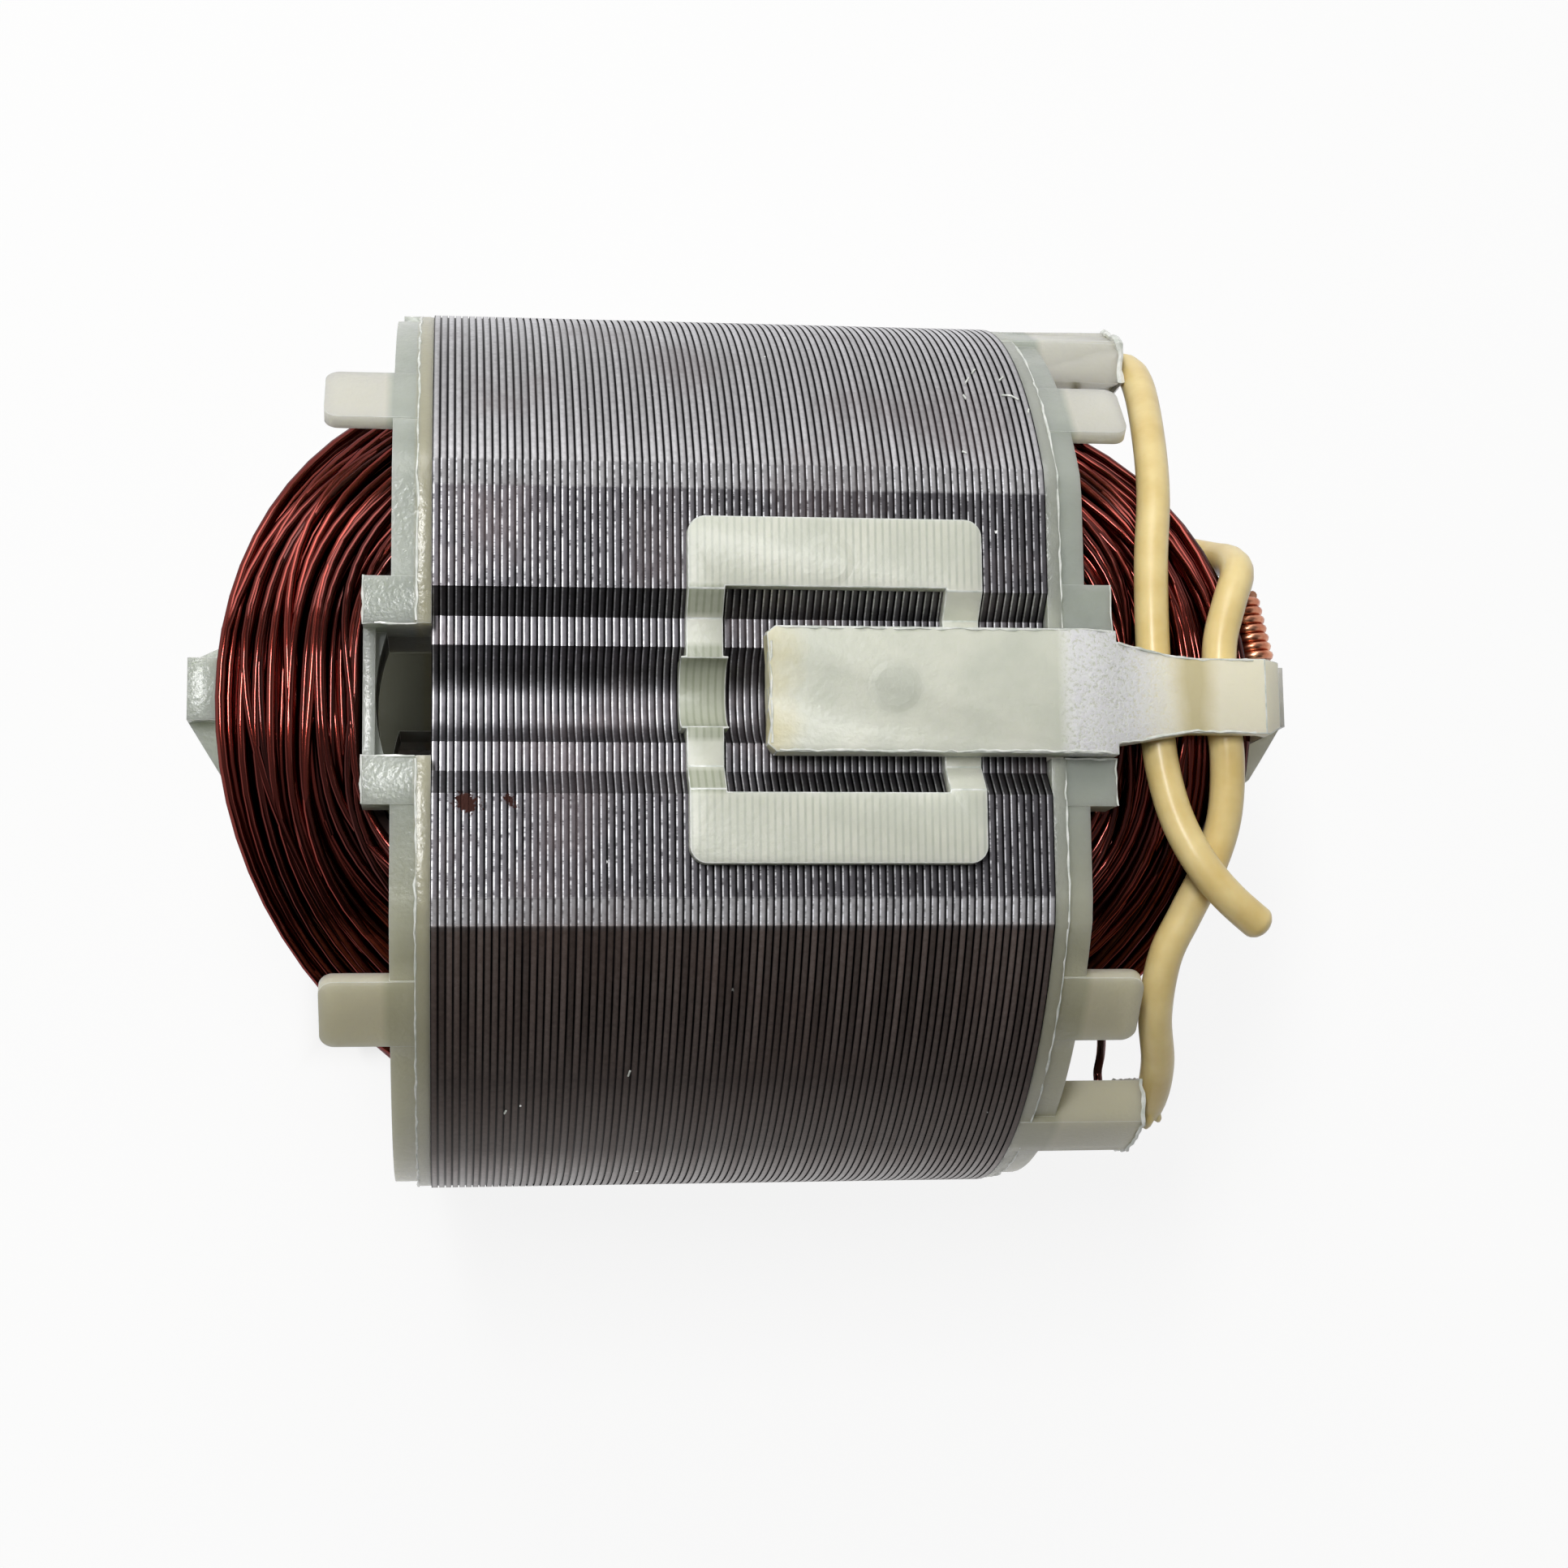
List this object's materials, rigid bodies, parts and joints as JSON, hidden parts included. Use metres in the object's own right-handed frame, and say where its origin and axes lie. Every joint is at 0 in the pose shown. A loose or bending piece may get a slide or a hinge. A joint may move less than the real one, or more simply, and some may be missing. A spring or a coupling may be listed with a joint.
{
  "type": "wound stator",
  "caption": "Wound field of a two-pole universal motor: laminated steel core, enamelled copper coils, nylon end frames, a lead clip and cream leads.",
  "frame": {"origin": "middle of the rotor bore, halfway along the lamination stack", "axes": "+X along the rotor axis towards the lead end, +Z along the normal of the front flat that carries the lead clip, +Y to the side with lead A's terminal"},
  "size_m": [0.077, 0.0663, 0.0601],
  "materials": {
    "steel": "punched sheet edges, dull",
    "nylon": "translucent natural nylon, satin",
    "enamel": "red-brown enamel over copper, glossy",
    "bare_copper": "bare copper, bright",
    "slot_paper": "insulating paper, matt",
    "tinned": "tinned brass",
    "cream": "cream wire insulation, satin"
  },
  "bodies": {
    "root": {"lamination_stack": "steel", "plain_end_frame": "nylon", "lead_end_frame": "nylon", "front_coil": "enamel", "rear_coil": "enamel", "slot_liner_1": "slot_paper", "slot_liner_2": "slot_paper", "slot_liner_3": "slot_paper", "slot_liner_4": "slot_paper", "terminal_1": "tinned", "terminal_2": "tinned", "terminal_3": "tinned", "terminal_4": "tinned", "coil_tail_1": "enamel", "coil_tail_2": "enamel", "coil_tail_3": "enamel", "coil_tail_4": "enamel", "lead_clip": "nylon", "lead_a": "cream", "lead_b": "cream", "wire_sleeve": "bare_copper"}
  },
  "joints": []
}
